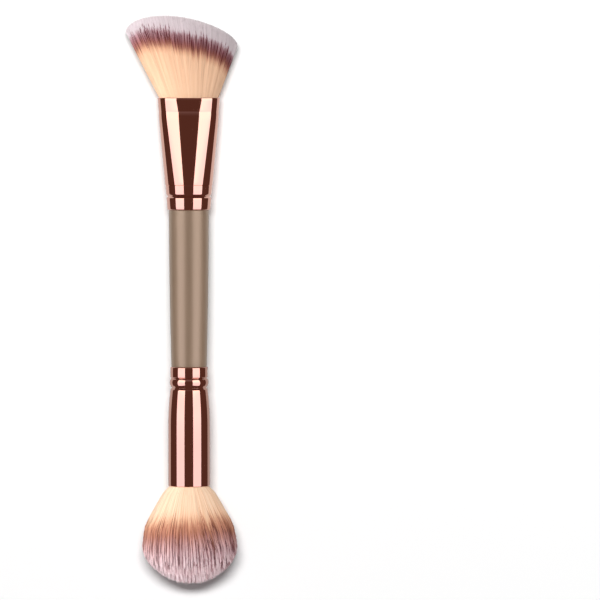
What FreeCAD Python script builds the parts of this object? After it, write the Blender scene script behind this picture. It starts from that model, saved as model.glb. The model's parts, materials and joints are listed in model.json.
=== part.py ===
import FreeCAD, Part
import math
import os
import re

import Sketcher

# Double ended makeup brush: a turned handle with a metal ferrule and a bundle of filaments at each end.
# Every size is in millimetres or degrees. The brush lies as it comes to rest on its two heads:
# +Y points to the angled head, +X across the brush and +Z up, with the origin under its middle.

Vector = FreeCAD.Vector

# The driving sizes, which go into the document's spreadsheet.
# A station is a distance from the end of a ferrule that meets the handle, measured towards its hair.
SIZES = {
    # The handle, turned from one length of wood
    "handle_length": 52.2,
    "handle_wide_dia": 13.4,
    "handle_slim_dia": 11.8,
    "handle_belly": 0.13,
    "wide_tenon_length": 11.0,
    "wide_tenon_tip_dia": 12.8,
    "slim_tenon_length": 12.0,
    "slim_tenon_tip_dia": 10.6,
    "slim_tenon_lead": 2.4,

    # Fits and sheet shared by both ends
    "sheet_wall": 0.5,
    "rim_bevel": 0.3,
    "fit_gap": 0.05,
    "glue_gap": 0.05,
    "crimp_flank": 45.0,

    # The angled head's ferrule: a swaged round collar, then a shell pressed from round to oval
    "oval_ferrule_length": 37.3,
    "oval_rim_stand": 0.5,
    "oval_swage": 0.65,
    "oval_shell_start": 8.3,
    "oval_shell_step": 0.1,
    "oval_crimp_station": 4.5,
    "oval_crimp_floor": 0.25,
    "oval_crimp_depth": 0.45,
    "oval_band_bulge": 0.1,
    "mouth_width": 20.86,
    "mouth_thickness": 13.3,
    "mouth_end_ease": 0.65,
    "press_height": 4.6,
    "press_taper": 0.38,
    "press_depth": 0.16,
    "press_ramp": 0.6,

    # The angled head: a fan of filaments trimmed to a slanting crown
    "angled_glue_depth": 6.2,
    "fan_long_side_reach": 21.0,
    "fan_long_side_height": 21.7,
    "fan_short_side_reach": 16.5,
    "fan_short_side_height": 17.0,
    "fan_thickness": 17.2,
    "crown_rise": 7.9,
    "crown_lean": 1.6,
    "crown_flatness": 0.4,
    "lock_depth": 0.5,
    "lock_count": 38,

    # The round head's ferrule: a ring, a bead and a tube that flares and then runs parallel
    "tube_ferrule_length": 39.8,
    "tube_rim_stand": 0.35,
    "tube_flare": 0.75,
    "tube_flare_end": 20.0,
    "ring_crimp_station": 3.8,
    "ring_crimp_floor": 0.1,
    "ring_crimp_depth": 0.3,
    "bead_crimp_station": 7.0,
    "bead_crimp_floor": 0.25,
    "bead_crimp_depth": 0.4,
    "bead_bulge": 0.06,

    # The round head: a bundle that bursts from the mouth into a dome
    "dome_root_lead": 1.8,
    "dome_dia": 33.0,
    "dome_belly_height": 19.5,
    "dome_rise": 13.0,
    "dome_shoulder_radius": 9.0,
    "dome_belly_radius": 20.0,
    "dome_side_lean": 35.0,
    "dome_burst_height": 3.0,
}

doc = FreeCAD.newDocument("makeup_brush")
sheet = doc.addObject("Spreadsheet::Sheet", "sizes")
for row, (size_name, size_value) in enumerate(SIZES.items(), start=1):
    sheet.set(f"A{row}", size_name)
    sheet.set(f"B{row}", str(size_value))
    sheet.setAlias(f"B{row}", size_name)
doc.recompute()


def formula(text):
    """The text with every size name pointed at its cell in the spreadsheet."""
    return re.sub(r"[a-z_]+", lambda word: ("sizes." if word[0] in SIZES else "") + word[0], text)


def value(text):
    """The number that a formula gives now."""
    return float(sheet.evalExpression(formula(text)))


# Sketches and bodies

def new_body(name):
    body = doc.addObject("PartDesign::Body", name)
    body.Label = name
    return body


def new_sketch(body, name, role, origin=("0", "0", "0"), turn=0):
    """A sketch on one of the body's own planes, moved to an origin in that plane and turned about it."""
    sketch = body.newObject("Sketcher::SketchObject", name)
    plane = next(item for item in body.Origin.OriginFeatures if item.Role == role)
    sketch.AttachmentSupport = [(plane, "")]
    sketch.MapMode = "FlatFace"
    sketch.AttachmentOffset = FreeCAD.Placement(Vector(), FreeCAD.Rotation(Vector(0, 0, 1), turn))
    for axis, place in zip("xyz", origin):
        sketch.setExpression(f"AttachmentOffset.Base.{axis}", formula(place))
    sketch.Visibility = False
    return sketch


def arc_between(start, end, radius):
    """The minor arc from start to end: a positive radius turns left and a negative one turns right."""
    chord = end - start
    half = chord.Length / 2
    left = Vector(-chord.y, chord.x, 0).normalize()
    rise = math.sqrt(max(radius * radius - half * half, 0.0))
    centre = (start + end) * 0.5 + left * math.copysign(rise, radius)
    first, last = (start, end) if radius > 0 else (end, start)
    angles = [math.atan2(point.y - centre.y, point.x - centre.x) for point in (first, last)]
    return Part.ArcOfCircle(Part.Circle(centre, Vector(0, 0, 1), abs(radius)), *angles)


def draw_outline(sketch, outline):
    """Close an outline of points, each of them (x, y) or, where an arc leads to it, (x, y, radius)."""
    points = [Vector(value(point[0]), value(point[1]), 0) for point in outline]
    vertices = []
    for index, point in enumerate(outline):
        before = points[index - 1]
        if len(point) == 2:
            sketch.addGeometry(Part.LineSegment(before, points[index]), False)
            vertices.append((1, 2))
            continue
        radius = value(point[2])
        sketch.addGeometry(arc_between(before, points[index], radius), False)
        vertices.append((1, 2) if radius > 0 else (2, 1))
        size = sketch.addConstraint(Sketcher.Constraint("Radius", index, abs(radius)))
        sketch.setExpression(f"Constraints[{size}]", f"abs({formula(point[2])})")
    for index, point in enumerate(outline):
        following = (index + 1) % len(outline)
        end = vertices[index][1]
        start = vertices[following][0]
        sketch.addConstraint(Sketcher.Constraint("Coincident", index, end, following, start))
        for kind, text, place in zip(("DistanceX", "DistanceY"), point, points[index]):
            size = sketch.addConstraint(Sketcher.Constraint(kind, -1, 1, index, end, place))
            sketch.setExpression(f"Constraints[{size}]", formula(text))


def turned(body, name, outline, origin=("0", "0", "0"), turn=0):
    """A solid turned about the upright line through its sketch's origin."""
    sketch = new_sketch(body, f"{name}_outline", "XZ_Plane", origin, turn)
    draw_outline(sketch, outline)
    doc.recompute()
    feature = body.newObject("PartDesign::Revolution", name)
    feature.Profile = (sketch, [""])
    feature.ReferenceAxis = (sketch, ["V_Axis"])
    feature.Angle = 360
    doc.recompute()
    return feature


def loft(body, name, kind, sections):
    """A ruled skin through flat outlines, each given as (station, outline)."""
    sketches = []
    for index, (station, outline) in enumerate(sections, start=1):
        sketch = new_sketch(body, f"{name}_section_{index}", "XY_Plane", ("0", "0", station))
        draw_outline(sketch, outline)
        sketches.append(sketch)
    doc.recompute()
    feature = body.newObject(f"PartDesign::{kind}", name)
    feature.Profile = (sketches[0], [""])
    feature.Sections = [(sketch, [""]) for sketch in sketches[1:]]
    feature.Ruled = True
    doc.recompute()
    return feature


# Crimps, where a bevelled roller has pressed the sheet into the wood

skin = "(sheet_wall + fit_gap)"
oval_rim = "(handle_wide_dia / 2 + oval_rim_stand)"
tube_rim = "(handle_slim_dia / 2 + tube_rim_stand)"


def oval_collar(station):
    """The outside of the swaged collar, which widens evenly from the rim."""
    return f"({oval_rim} + oval_swage * {station} / oval_shell_start)"


def tube_collar(station):
    """The outside of the straight collar, which has one size at every station."""
    return tube_rim


def crimp_half(crimp, inset="0"):
    """Half the length of a crimp, on the skin that lies inset below the outside."""
    return f"({crimp}_floor + ({inset}) * tan(crimp_flank / 2) + {crimp}_depth / tan(crimp_flank))"


def crimped(radius_at, crimp, inset="0", up=True, approach=None):
    """The four corners of a crimp on one skin. Its skins run parallel, so the sheet keeps its wall."""
    floor = f"({crimp}_floor + ({inset}) * tan(crimp_flank / 2))"
    edge = crimp_half(crimp, inset)
    corners = []
    for side, half, drop in (("-", edge, "0"), ("-", floor, "1"), ("+", floor, "1"), ("+", edge, "0")):
        station = f"({crimp}_station {side} {half})"
        corners.append((f"{radius_at(station)} - ({inset}) - {drop} * {crimp}_depth", station))
    if not up:
        corners.reverse()
    if approach:
        corners[0] = (*corners[0], approach)
    return corners


def bulge_radius(chord, rise):
    """The radius of an arc that stands a rise above its chord."""
    return f"(({chord})^2 / (8 * {rise}) + {rise} / 2)"


# The handle, a slender barrel with a tenon for each ferrule

handle = new_body("handle")
grip_slant = "((handle_wide_dia - handle_slim_dia) / 2)"
grip_side = f"sqrt(handle_length^2 + {grip_slant}^2)"
turned(handle, "grip", [
    ("0", "-handle_length / 2"),
    ("handle_slim_dia / 2", "-handle_length / 2"),
    ("handle_wide_dia / 2", "handle_length / 2", bulge_radius(grip_side, "handle_belly")),
    ("0", "handle_length / 2"),
])
turned(handle, "wide_tenon", [
    ("0", "0"),
    (f"{oval_collar('0')} - {skin}", "0"),
    *crimped(oval_collar, "oval_crimp", skin),
    (f"{oval_collar('oval_shell_start')} - {skin}", "oval_shell_start"),
    ("wide_tenon_tip_dia / 2", "wide_tenon_length"),
    ("0", "wide_tenon_length"),
], origin=("0", "handle_length / 2", "0"))
turned(handle, "slim_tenon", [
    ("0", "0"),
    (f"{tube_collar('0')} - {skin}", "0"),
    *crimped(tube_collar, "ring_crimp", skin),
    *crimped(tube_collar, "bead_crimp", skin),
    (f"{tube_collar('0')} - {skin}", "slim_tenon_length - slim_tenon_lead"),
    ("slim_tenon_tip_dia / 2", "slim_tenon_length"),
    ("0", "slim_tenon_length"),
], origin=("0", "-handle_length / 2", "0"), turn=180)

# The angled head's ferrule, a round collar that a press has flattened into an oval mouth.
# An oval has four arcs, two round ends joined by two flat faces. Its insets keep its four centres.

shell_radius = f"({oval_collar('oval_shell_start')} + oval_shell_step)"
mouth_end = "(mouth_thickness / 2 - mouth_end_ease)"
crease_station = "(oval_ferrule_length - press_height - press_ramp)"
band_station = "(oval_ferrule_length - press_height)"


def oval(half_width, half_thickness, inset, round_radius="0", fraction="1"):
    """An oval, or the shape a fraction of the way to it from a circle, with every arc blended evenly."""
    spread = f"({half_width} - {mouth_end})"
    flat = f"(({spread}^2 + {half_thickness}^2 - {mouth_end}^2) / (2 * ({half_thickness} - {mouth_end})))"
    end_arc = f"({round_radius} * (1 - {fraction}) + {mouth_end} * {fraction} - {inset})"
    flat_arc = f"({round_radius} * (1 - {fraction}) + {flat} * {fraction} - {inset})"
    x = f"({spread} * ({fraction} + {end_arc} / ({flat} - {mouth_end})))"
    y = f"(({flat} - {half_thickness}) * {end_arc} / ({flat} - {mouth_end}))"
    return [(x, y, end_arc), (f"-{x}", y, flat_arc), (f"-{x}", f"-{y}", end_arc), (x, f"-{y}", flat_arc)]


def pressed_section(station, inset):
    """The pressed shell at a station between its round start and its crease."""
    fraction = f"(({station} - oval_shell_start) / ({crease_station} - oval_shell_start))"
    half_width = "(mouth_width / 2 - press_taper)"
    return oval(half_width, "(mouth_thickness / 2 + press_depth)", inset, shell_radius, fraction)


def shell_sections(start, inset):
    """The pressed shell from a station up to the mouth. Its last band is pressed deeper, past a crease."""
    half_thickness = "(mouth_thickness / 2)"
    return [
        (start, pressed_section(start, inset)),
        (crease_station, pressed_section(crease_station, inset)),
        (band_station, oval("(mouth_width / 2 - press_taper)", half_thickness, inset)),
        ("oval_ferrule_length", oval("(mouth_width / 2)", half_thickness, inset)),
    ]


angled_ferrule = new_body("angled_ferrule")
band_length = f"oval_shell_start - oval_crimp_station - {crimp_half('oval_crimp')}"
turned(angled_ferrule, "collar", [
    (f"{oval_rim} - rim_bevel", "0"),
    (oval_collar("rim_bevel"), "rim_bevel"),
    *crimped(oval_collar, "oval_crimp"),
    (oval_collar("oval_shell_start"), "oval_shell_start", bulge_radius(band_length, "oval_band_bulge")),
    (f"{oval_collar('oval_shell_start')} - sheet_wall", "oval_shell_start"),
    *crimped(oval_collar, "oval_crimp", "sheet_wall", up=False),
    (f"{oval_rim} - sheet_wall", "0"),
])
loft(angled_ferrule, "shell", "AdditiveLoft", shell_sections("oval_shell_start", "0"))
loft(angled_ferrule, "shell_bore", "SubtractiveLoft", shell_sections("oval_shell_start", "sheet_wall"))

# The round head's ferrule, which leaves its crimps at the collar's size and flares to its mouth

tube_mouth = f"({tube_rim} + tube_flare)"


def flare_radius(inset):
    """The radius of the flare on one skin, upright where it ends."""
    height = f"(tube_flare_end - bead_crimp_station - {crimp_half('bead_crimp', inset)})"
    return f"((tube_flare^2 + {height}^2) / (2 * tube_flare))"


round_ferrule = new_body("round_ferrule")
inner_flare = f"-{flare_radius('sheet_wall')}"
bead_length = (f"bead_crimp_station - {crimp_half('bead_crimp')}"
               f" - ring_crimp_station - {crimp_half('ring_crimp')}")
turned(round_ferrule, "tube", [
    (f"{tube_rim} - rim_bevel", "0"),
    (tube_rim, "rim_bevel"),
    *crimped(tube_collar, "ring_crimp"),
    *crimped(tube_collar, "bead_crimp", approach=bulge_radius(bead_length, "bead_bulge")),
    (tube_mouth, "tube_flare_end", flare_radius("0")),
    (tube_mouth, "tube_ferrule_length"),
    (f"{tube_mouth} - sheet_wall", "tube_ferrule_length"),
    (f"{tube_mouth} - sheet_wall", "tube_flare_end"),
    *crimped(tube_collar, "bead_crimp", "sheet_wall", up=False, approach=inner_flare),
    *crimped(tube_collar, "ring_crimp", "sheet_wall", up=False),
    (f"{tube_rim} - sheet_wall", "0"),
])

# The glue between each tenon and the root of its head

fan_root_station = "(wide_tenon_length + angled_glue_depth)"
angled_glue_plug = new_body("angled_glue_plug")
loft(angled_glue_plug, "oval_plug", "AdditiveLoft", [
    (station, pressed_section(station, skin))
    for station in ("(wide_tenon_length + glue_gap)", f"({fan_root_station} - glue_gap)")
])

dome_root_station = "(tube_flare_end + dome_root_lead)"
round_glue_plug = new_body("round_glue_plug")
plug_start = "(slim_tenon_length + glue_gap)"
plug_side = f"({tube_mouth} - {skin})"
plug_flare = flare_radius(skin)
turned(round_glue_plug, "round_plug", [
    ("0", plug_start),
    (f"{plug_side} - {plug_flare} + sqrt({plug_flare}^2 - (tube_flare_end - {plug_start})^2)", plug_start),
    (plug_side, "tube_flare_end", plug_flare),
    (plug_side, f"{dome_root_station} - glue_gap"),
    ("0", f"{dome_root_station} - glue_gap"),
])

# Heads: filaments cling together in locks, so a head is a ruled skin over rings of ridges and valleys.
# A ring is given by its centre, its tilt, its half width, its half thickness and the depth of its valleys.

def lock_ring(centre, tilt, half_width, half_thickness, depth):
    points = []
    corners = 2 * round(value("lock_count"))
    for corner in range(corners):
        angle = 2 * math.pi * corner / corners
        sink = depth if corner % 2 else 0
        across = (half_width - sink) * math.cos(angle)
        along = (half_thickness - sink) * math.sin(angle)
        points.append(centre + Vector(across * math.cos(tilt), along, across * math.sin(tilt)))
    return Part.makePolygon([*points, points[0]])


def tuft(name, rings):
    sections = []
    for index, ring in enumerate(rings, start=1):
        section = doc.addObject("Part::Feature", f"{name}_ring_{index}")
        section.Shape = lock_ring(*ring)
        section.Visibility = False
        sections.append(section)
    bundle = doc.addObject("Part::Loft", name)
    bundle.Sections = sections
    bundle.Solid = True
    bundle.Ruled = True
    doc.recompute()
    return bundle


# The angled head: its root fills the pressed shell, then its rings tilt to the slant of the crown

def fan_root_rings():
    share = value(f"({fan_root_station} - oval_shell_start) / ({crease_station} - oval_shell_start)")
    round_half = value(f"{shell_radius} - {skin}")
    creased = (
        value(f"mouth_width / 2 - press_taper - {skin}"),
        value(f"mouth_thickness / 2 + press_depth - {skin}"),
    )
    rooted = [round_half * (1 - share) + half * share for half in creased]
    return [
        (Vector(0, 0, value(fan_root_station)), 0, *rooted, 0),
        (Vector(0, 0, value(crease_station)), 0, *creased, 0),
        (Vector(0, 0, value(band_station)), 0, creased[0], value(f"mouth_thickness / 2 - {skin}"), 0),
    ]


def fan_rings():
    mouth_height = value("oval_ferrule_length")
    mouth_half = value(f"mouth_width / 2 - {skin}")
    mouth_depth = value(f"mouth_thickness / 2 - {skin}")
    long_corner = Vector(-value("fan_long_side_reach"), 0, mouth_height + value("fan_long_side_height"))
    short_corner = Vector(value("fan_short_side_reach"), 0, mouth_height + value("fan_short_side_height"))
    rings = []
    for share in (0, 0.25, 0.5, 1):
        left = Vector(-mouth_half, 0, mouth_height) * (1 - share) + long_corner * share
        right = Vector(mouth_half, 0, mouth_height) * (1 - share) + short_corner * share
        tilt = math.atan2(right.z - left.z, right.x - left.x)
        thickness = mouth_depth * (1 - share) + value("fan_thickness / 2") * share
        depth = value("lock_depth") * min(1, 2 * share)
        rings.append(((left + right) * 0.5, tilt, (right - left).Length / 2, thickness, depth))
    centre, tilt, half_width, thickness, depth = rings[-1]
    across = Vector(math.cos(tilt), 0, math.sin(tilt))
    upward = Vector(-math.sin(tilt), 0, math.cos(tilt))
    for climb in (20, 40, 58, 72, 83):
        height = math.sin(math.radians(climb))
        narrowing = math.cos(math.radians(climb))
        rise = upward * (value("crown_rise") * height)
        middle = centre + rise - across * (value("crown_lean") * height ** 2)
        thinning = narrowing ** value("crown_flatness")
        rings.append((middle, tilt, half_width * narrowing, thickness * thinning, depth * narrowing))
    return rings


angled_bristles = tuft("angled_bristles", fan_root_rings() + fan_rings())

# The round head: from its root it rises to the mouth, bursts out and closes in a dome over its belly

def dome_profile():
    """The head's outline as (radius, height over the mouth)."""
    half = value("dome_dia / 2")
    belly = value("dome_belly_height")
    lean = math.radians(value("dome_side_lean"))
    bend = value("dome_belly_radius")
    side = (half - bend * (1 - math.cos(lean)), belly - bend * math.sin(lean))
    burst = value("dome_burst_height")
    profile = [(value(f"{tube_mouth} - {skin}"), 0), (side[0] - (side[1] - burst) * math.tan(lean), burst)]
    for share in (1, 0.5, 0):
        turn = lean * share
        profile.append((half - bend * (1 - math.cos(turn)), belly - bend * math.sin(turn)))
    shoulder = value("dome_shoulder_radius")
    spread = half - shoulder
    rise = value("dome_rise")
    top = (spread ** 2 + rise ** 2 - shoulder ** 2) / (2 * (rise - shoulder))
    meet = math.atan2(top - rise, spread)
    for share in (0.5, 1):
        turn = meet * share
        profile.append((spread + shoulder * math.cos(turn), belly + shoulder * math.sin(turn)))
    for share in (0.35, 0.7, 0.92):
        turn = meet + share * (math.pi / 2 - meet)
        profile.append((top * math.cos(turn), belly + rise - top + top * math.sin(turn)))
    return profile


def dome_rings():
    mouth = value("tube_ferrule_length")
    full_height = value("dome_belly_height / 2")
    full_radius = value("dome_dia / 4")
    root_half = value(f"{tube_mouth} - {skin}")
    rings = [(Vector(0, 0, value(dome_root_station)), 0, root_half, root_half, 0)]
    for radius, height in dome_profile():
        depth = value("lock_depth") * min(1, height / full_height, radius / full_radius)
        rings.append((Vector(0, 0, mouth + height), 0, radius, radius, depth))
    return rings


round_bristles = tuft("round_bristles", dome_rings())

# Where each piece sits: both ends are drawn upright, and the brush lies along Y

along_y = FreeCAD.Placement(Vector(), FreeCAD.Rotation(Vector(1, 0, 0), -90))
wide_end = FreeCAD.Placement(Vector(0, value("handle_length / 2"), 0), along_y.Rotation)
slim_end = FreeCAD.Placement(Vector(0, value("-handle_length / 2"), 0), FreeCAD.Rotation(Vector(1, 0, 0), 90))
SEATS = {
    handle: along_y,
    angled_ferrule: wide_end,
    angled_bristles: wide_end,
    angled_glue_plug: wide_end,
    round_ferrule: slim_end,
    round_bristles: slim_end,
    round_glue_plug: slim_end,
}


# The heads are wider than all that lies between them and have straight edges, so their corners
# bound the whole brush. It rests on its two heads: the thinner one tips down until both touch.

HEADS = (angled_bristles, round_bristles)
corners = {head: [vertex.Point for vertex in head.Shape.Vertexes] for head in HEADS}


def box_round(heads, lay):
    """The bounding box of some heads with the whole brush moved by a placement."""
    box = FreeCAD.BoundBox()
    for head in heads:
        seat = lay.multiply(SEATS[head])
        for corner in corners[head]:
            box.add(seat.multVec(corner))
    return box


lay = FreeCAD.Placement()
reach = value("handle_length + oval_ferrule_length + tube_ferrule_length + dome_belly_height")
for step in range(8):
    drop = box_round([angled_bristles], lay).ZMin - box_round([round_bristles], lay).ZMin
    tip = FreeCAD.Rotation(Vector(1, 0, 0), -math.degrees(drop / reach))
    lay = FreeCAD.Placement(Vector(), tip.multiply(lay.Rotation))
whole = box_round(HEADS, lay)
lay.Base = Vector(-whole.Center.x, -whole.Center.y, -whole.ZMin)
for piece, seat in SEATS.items():
    piece.Placement = lay.multiply(seat)
doc.recompute()

# Every feature has to be sound before anything is written

for item in doc.Objects:
    if {"Invalid", "Error"} & set(item.State):
        raise RuntimeError(f"{item.Name} failed: {item.State}")
for piece in SEATS:
    if piece.Shape.isNull() or not piece.Shape.isValid() or len(piece.Shape.Solids) != 1:
        raise RuntimeError(f"{piece.Label} is not one sound solid")
os.makedirs("parts", exist_ok=True)
for piece in SEATS:
    piece.Shape.exportStep(f"parts/{piece.Label}.step")
    print(piece.Label, f"{piece.Shape.Volume:.1f} mm3")
print("The brush measures", whole)
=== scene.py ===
# %% [markdown]
# # A double ended makeup brush
#
# The brush has a turned wooden handle, a metal ferrule pressed on each of its ends, and a bundle of
# dyed filaments in each ferrule. One head is trimmed at a slant and the other one is a dome. The
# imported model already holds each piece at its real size, so this lesson gives the pieces their
# finish: mirror-bright metal, satin lacquer and tens of thousands of fine filaments.

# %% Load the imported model
import json
import math
from contextlib import contextmanager

import bpy
import numpy as np
from mathutils import Matrix, Vector

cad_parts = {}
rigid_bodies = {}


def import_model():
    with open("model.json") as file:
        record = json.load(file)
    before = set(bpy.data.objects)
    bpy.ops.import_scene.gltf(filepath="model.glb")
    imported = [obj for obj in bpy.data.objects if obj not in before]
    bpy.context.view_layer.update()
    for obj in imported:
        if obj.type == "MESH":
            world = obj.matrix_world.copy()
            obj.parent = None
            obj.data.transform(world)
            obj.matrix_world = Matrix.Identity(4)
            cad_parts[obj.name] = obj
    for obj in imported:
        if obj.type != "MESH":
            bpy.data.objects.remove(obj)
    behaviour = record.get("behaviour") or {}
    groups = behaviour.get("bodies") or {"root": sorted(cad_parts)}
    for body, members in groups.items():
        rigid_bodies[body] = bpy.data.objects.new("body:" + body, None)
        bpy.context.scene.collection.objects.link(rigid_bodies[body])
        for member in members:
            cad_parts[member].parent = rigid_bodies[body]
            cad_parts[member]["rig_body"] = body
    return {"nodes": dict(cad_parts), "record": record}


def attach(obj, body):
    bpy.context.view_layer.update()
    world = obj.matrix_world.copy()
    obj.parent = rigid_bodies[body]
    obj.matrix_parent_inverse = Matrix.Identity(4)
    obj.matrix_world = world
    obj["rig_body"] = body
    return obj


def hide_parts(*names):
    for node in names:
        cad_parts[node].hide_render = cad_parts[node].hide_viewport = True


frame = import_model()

bpy.context.scene.view_settings.view_transform = "Standard"

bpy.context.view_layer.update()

# %% [markdown]
# ## The brush's own frame
#
# The brush lies on its two heads. The thinner head sinks lower, so the handle's axis is tipped by a
# few degrees. It is easier to model along a level axis, so every piece is made in the brush's own
# frame, with X across, Y along the handle towards the slanted head and Z up. One matrix then lays
# each finished piece down. The matrix comes from the place on the handle that the record names.

# %% The matrix that lays a piece down
MM = 0.001

grip = next(mount for mount in frame["record"]["mounts"] if mount["name"] == "handle_grip")
along = Vector(grip["axis"]).normalized()
across = Vector((1, 0, 0))
lay = Matrix((across, along, across.cross(along))).transposed().to_4x4()
lay.translation = Vector(grip["pos_m"])
print("the axis is tipped by", round(math.degrees(math.asin(-along.z)), 2), "degrees")


def measure(node):
    """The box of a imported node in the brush's own frame, as (lowest corner, highest corner)."""
    back = lay.inverted()
    corners = np.array([back @ vertex.co for vertex in frame["nodes"][node].data.vertices])
    return corners.min(0), corners.max(0)


HALF_GRIP = grip["dims"]["length_mm"] * MM / 2
ANGLED_MOUTH = measure("angled_ferrule")[1][1]
ROUND_MOUTH = -measure("round_ferrule")[0][1]
print("mouths at", round(ANGLED_MOUTH / MM, 2), "and", round(-ROUND_MOUTH / MM, 2), "mm along the axis")

# %% [markdown]
# ## Small helpers
#
# Operators act on everything that is selected, so a helper clears the selection before each new
# piece. A second one opens edit mode for a few operators and closes it again. A last one finishes a
# piece: it lays it down, gives it its material, ties it to the body it moves with and hides the
# imported node that it stands for.

# %% Helpers for selecting and finishing


def select_only(piece=None):
    bpy.ops.object.select_all(action="DESELECT")
    if piece:
        piece.select_set(True)
        bpy.context.view_layer.objects.active = piece


@contextmanager
def editing(action="SELECT"):
    """Edit mode, with everything selected at first, or nothing."""
    bpy.ops.object.mode_set(mode="EDIT")
    bpy.ops.mesh.select_all(action=action)
    yield
    bpy.ops.object.mode_set(mode="OBJECT")


def weld(threshold):
    """In edit mode, merge the points that meet and turn every face outwards."""
    bpy.ops.mesh.select_all(action="SELECT")
    bpy.ops.mesh.remove_doubles(threshold=threshold)
    bpy.ops.mesh.normals_make_consistent(inside=False)


def apply_place(piece):
    select_only(piece)
    bpy.ops.object.transform_apply(location=True, rotation=True, scale=True)


def smooth(piece, degrees=35):
    select_only(piece)
    bpy.ops.object.shade_smooth_by_angle(angle=math.radians(degrees))


def finish(piece, node, material):
    """Lay the piece down on the floor, give it its material, tie it to the root and hide the imported node
    it stands for.
    """
    piece.data.transform(lay)
    piece.data.materials.clear()
    piece.data.materials.append(material)
    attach(piece, "root")
    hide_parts(node)
    print(piece.name, "has", len(piece.data.polygons), "faces")


# %% [markdown]
# ## Turning a piece
#
# The handle and the round ferrule were made on a lathe or by spinning, and Blender's Spin operator
# does the same. The outline is drawn as by hand: one vertex, extruded from corner to corner. Real
# edges are never perfectly sharp, and on polished metal it is the tiny round at each edge that
# catches the light, so each corner can be given a rounding.

# %% Draw an outline with rounded corners and spin it
TURNED_STEPS = 144
ROUND_STEPS = 5
WELD_REACH = MM / 500


def rounded(outline):
    """Replace each corner (radius, station, rounding) by a short arc of points, all in millimetres."""
    points = [Vector(corner[:2]) for corner in outline]
    path = []
    for index, corner in enumerate(outline):
        here = points[index]
        if len(corner) == 2 or index in (0, len(outline) - 1):
            path.append(here)
            continue
        before = (points[index - 1] - here).normalized()
        after = (points[index + 1] - here).normalized()
        half_turn = before.angle(after) / 2
        reach = corner[2] / math.tan(half_turn)
        centre = here + (before + after).normalized() * (corner[2] / math.sin(half_turn))
        start = here + before * reach - centre
        sweep = start.angle_signed(here + after * reach - centre)
        for step in range(ROUND_STEPS + 1):
            path.append(centre + Matrix.Rotation(-sweep * step / ROUND_STEPS, 2) @ start)
    return path


def bow(start, end, rise, steps=10):
    """Points of a flat arc between two (radius, station) points, bulging outwards by the rise."""
    start, end = Vector(start), Vector(end)
    points = []
    for step in range(1, steps):
        share = step / steps
        point = start.lerp(end, share)
        points.append((point.x + 4 * rise * share * (1 - share), point.y))
    return points


def turn(name, outline, towards=1):
    """Spin an outline of millimetre points about the brush's axis, in the given direction along it."""
    path = [Vector((point.x, towards * point.y, 0)) * MM for point in rounded(outline)]
    select_only()
    bpy.ops.mesh.primitive_plane_add(size=MM, location=path[0])
    piece = bpy.context.object
    piece.name = piece.data.name = name
    with editing():
        bpy.ops.mesh.merge(type="CENTER")
        for before, after in zip(path, path[1:]):
            bpy.ops.mesh.extrude_region_move(TRANSFORM_OT_translate={"value": after - before})
        bpy.ops.mesh.select_all(action="SELECT")
        bpy.ops.mesh.spin(steps=TURNED_STEPS, angle=math.tau, center=(0, 0, 0), axis=(0, 1, 0))
        weld(WELD_REACH)
    apply_place(piece)
    return piece


# %% [markdown]
# ## Shared surface effects
#
# Nothing real is perfectly even. Lacquer and plated metal both carry faint unevenness that is long
# along the brush and short around it, from turning, drawing and polishing. One node group makes that
# streaky pattern, and each material asks for its own scale and strength.

# %% Helpers for shader nodes


def new_material(name):
    material = bpy.data.materials.new(name)
    material.use_nodes = True
    return material, material.node_tree.nodes, material.node_tree.links


def feed(links, socket, value):
    """Link a socket to what changes over the surface, or set it to a plain value."""
    if isinstance(value, bpy.types.NodeSocket):
        links.new(value, socket)
    else:
        socket.default_value = value


def fill(links, node, values):
    """Feed several named inputs of a node."""
    for label, value in values.items():
        feed(links, node.inputs[label], value)


def work_out(nodes, links, operation, first, second, kind="ShaderNodeMath"):
    """A Math node, or a Vector Math node, and the socket with its answer."""
    node = nodes.new(kind)
    node.operation = operation
    feed(links, node.inputs[0], first)
    feed(links, node.inputs[1], second)
    return node.outputs[0]


def blend(nodes, links, share, first, second):
    """A colour that lies between two others, by a share from 0 to 1."""
    node = nodes.new("ShaderNodeMix")
    node.data_type = "RGBA"
    fill(links, node, {"Factor": share, "A": first, "B": second})
    return node.outputs["Result"]


def object_place(nodes):
    """The place of a point in its piece's own coordinates."""
    return nodes.new("ShaderNodeTexCoord").outputs["Object"]


# %% A node group for faint streaks along the brush


def new_group(name, inputs, outputs):
    group = bpy.data.node_groups.new(name, "ShaderNodeTree")
    for label, kind, default in inputs:
        socket = group.interface.new_socket(name=label, in_out="INPUT", socket_type=kind)
        if default is not None:
            socket.default_value = default
    for label, kind in outputs:
        group.interface.new_socket(name=label, in_out="OUTPUT", socket_type=kind)
    return group, group.nodes.new("NodeGroupInput"), group.nodes.new("NodeGroupOutput")


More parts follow.
